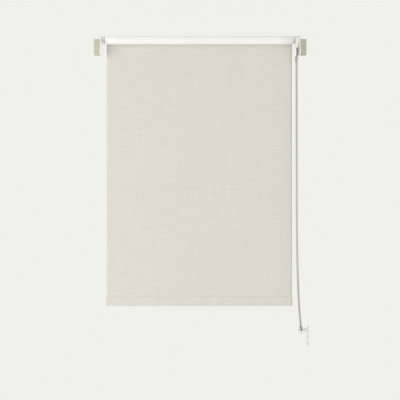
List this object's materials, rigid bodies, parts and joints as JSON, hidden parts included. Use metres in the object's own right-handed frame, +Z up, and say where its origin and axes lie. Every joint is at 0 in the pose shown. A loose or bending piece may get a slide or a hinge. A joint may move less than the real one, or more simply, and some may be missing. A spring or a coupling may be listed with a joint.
{
  "type": "thermal roller blind",
  "caption": "Roller blind with a thermal coated cloth on a sprung-pin tube, worked by an endless bead chain that runs down to a guide on the side wall.",
  "frame": {"origin": "on the wall, midway between the two brackets and at the centre of the four bracket screw holes", "axes": "+X along the roller towards the chain side, +Y into the wall, +Z up"},
  "size_m": [0.65, 0.0473, 0.9332],
  "materials": {
    "cloth_face": "greige woven face with fine slubs",
    "cloth_backing": "smooth white thermal coating",
    "bracket_steel": "satin, warm grey-beige",
    "white_plastic": "moulded, slightly glossy",
    "ivory_plastic": "moulded, matt",
    "tube_metal": "mill",
    "spring_steel": "drawn wire",
    "chain_metal": "nickel plated",
    "tape": "adhesive film"
  },
  "bodies": {
    "mounting": {"left_bracket": "bracket_steel", "left_bracket_cover": "white_plastic", "right_bracket": "bracket_steel", "right_bracket_cover": "white_plastic", "control_arbor": "white_plastic", "chain_guard": "white_plastic", "guide_base": "white_plastic", "guide_cover": "white_plastic", "guide_pin": "spring_steel", "chain_front": "chain_metal", "chain_back": "chain_metal", "chain_on_wheel": "chain_metal", "chain_round_guide": "chain_metal", "chain_stop": "chain_metal", "chain_connector": "chain_metal"},
    "roller": {"roller_tube": "tube_metal", "cloth_tape": "tape", "rolled_cloth": "cloth_backing", "idle_plug": "ivory_plastic", "idle_spring": "spring_steel", "drive_wheel": "ivory_plastic", "clutch_springs": "spring_steel"},
    "pin": {"idle_pin": "white_plastic"},
    "hem": {"hanging_cloth": "cloth_face", "thermal_backing": "cloth_backing", "hem_pocket": "cloth_face", "hem_bar": "tube_metal", "hem_cap_left": "ivory_plastic", "hem_cap_right": "ivory_plastic"},
    "chain_pulley": {"guide_wheel": "ivory_plastic"}
  },
  "joints": [
    {"name": "roller_spin", "type": "hinge", "parent": "mounting", "child": "roller", "pos_m": [0, -0.03, 0.017], "axis": [1, 0, 0], "range_deg": [-2070, 3420]},
    {"name": "hem_slide", "type": "slide", "parent": "mounting", "child": "hem", "axis": [0, 0, 1], "range_m": [-0.456, 0.753], "deforming": ["hanging_cloth", "thermal_backing"]},
    {"name": "pin_push", "type": "slide", "parent": "roller", "child": "pin", "axis": [1, 0, 0], "range_m": [0, 0.005], "stiffness_N_per_m": 600, "springref_m": -0.008, "deforming": ["idle_spring"]},
    {"name": "pulley_spin", "type": "hinge", "parent": "mounting", "child": "chain_pulley", "pos_m": [0.3013, -0.03, -0.851], "axis": [1, 0, 0], "range_deg": [-2330, 3840]}
  ],
  "couplings": [
    {"joint": "hem_slide", "follows": "roller_spin", "m_per_rad": 0.0126},
    {"joint": "pulley_spin", "follows": "roller_spin", "ratio": 1.1199}
  ]
}
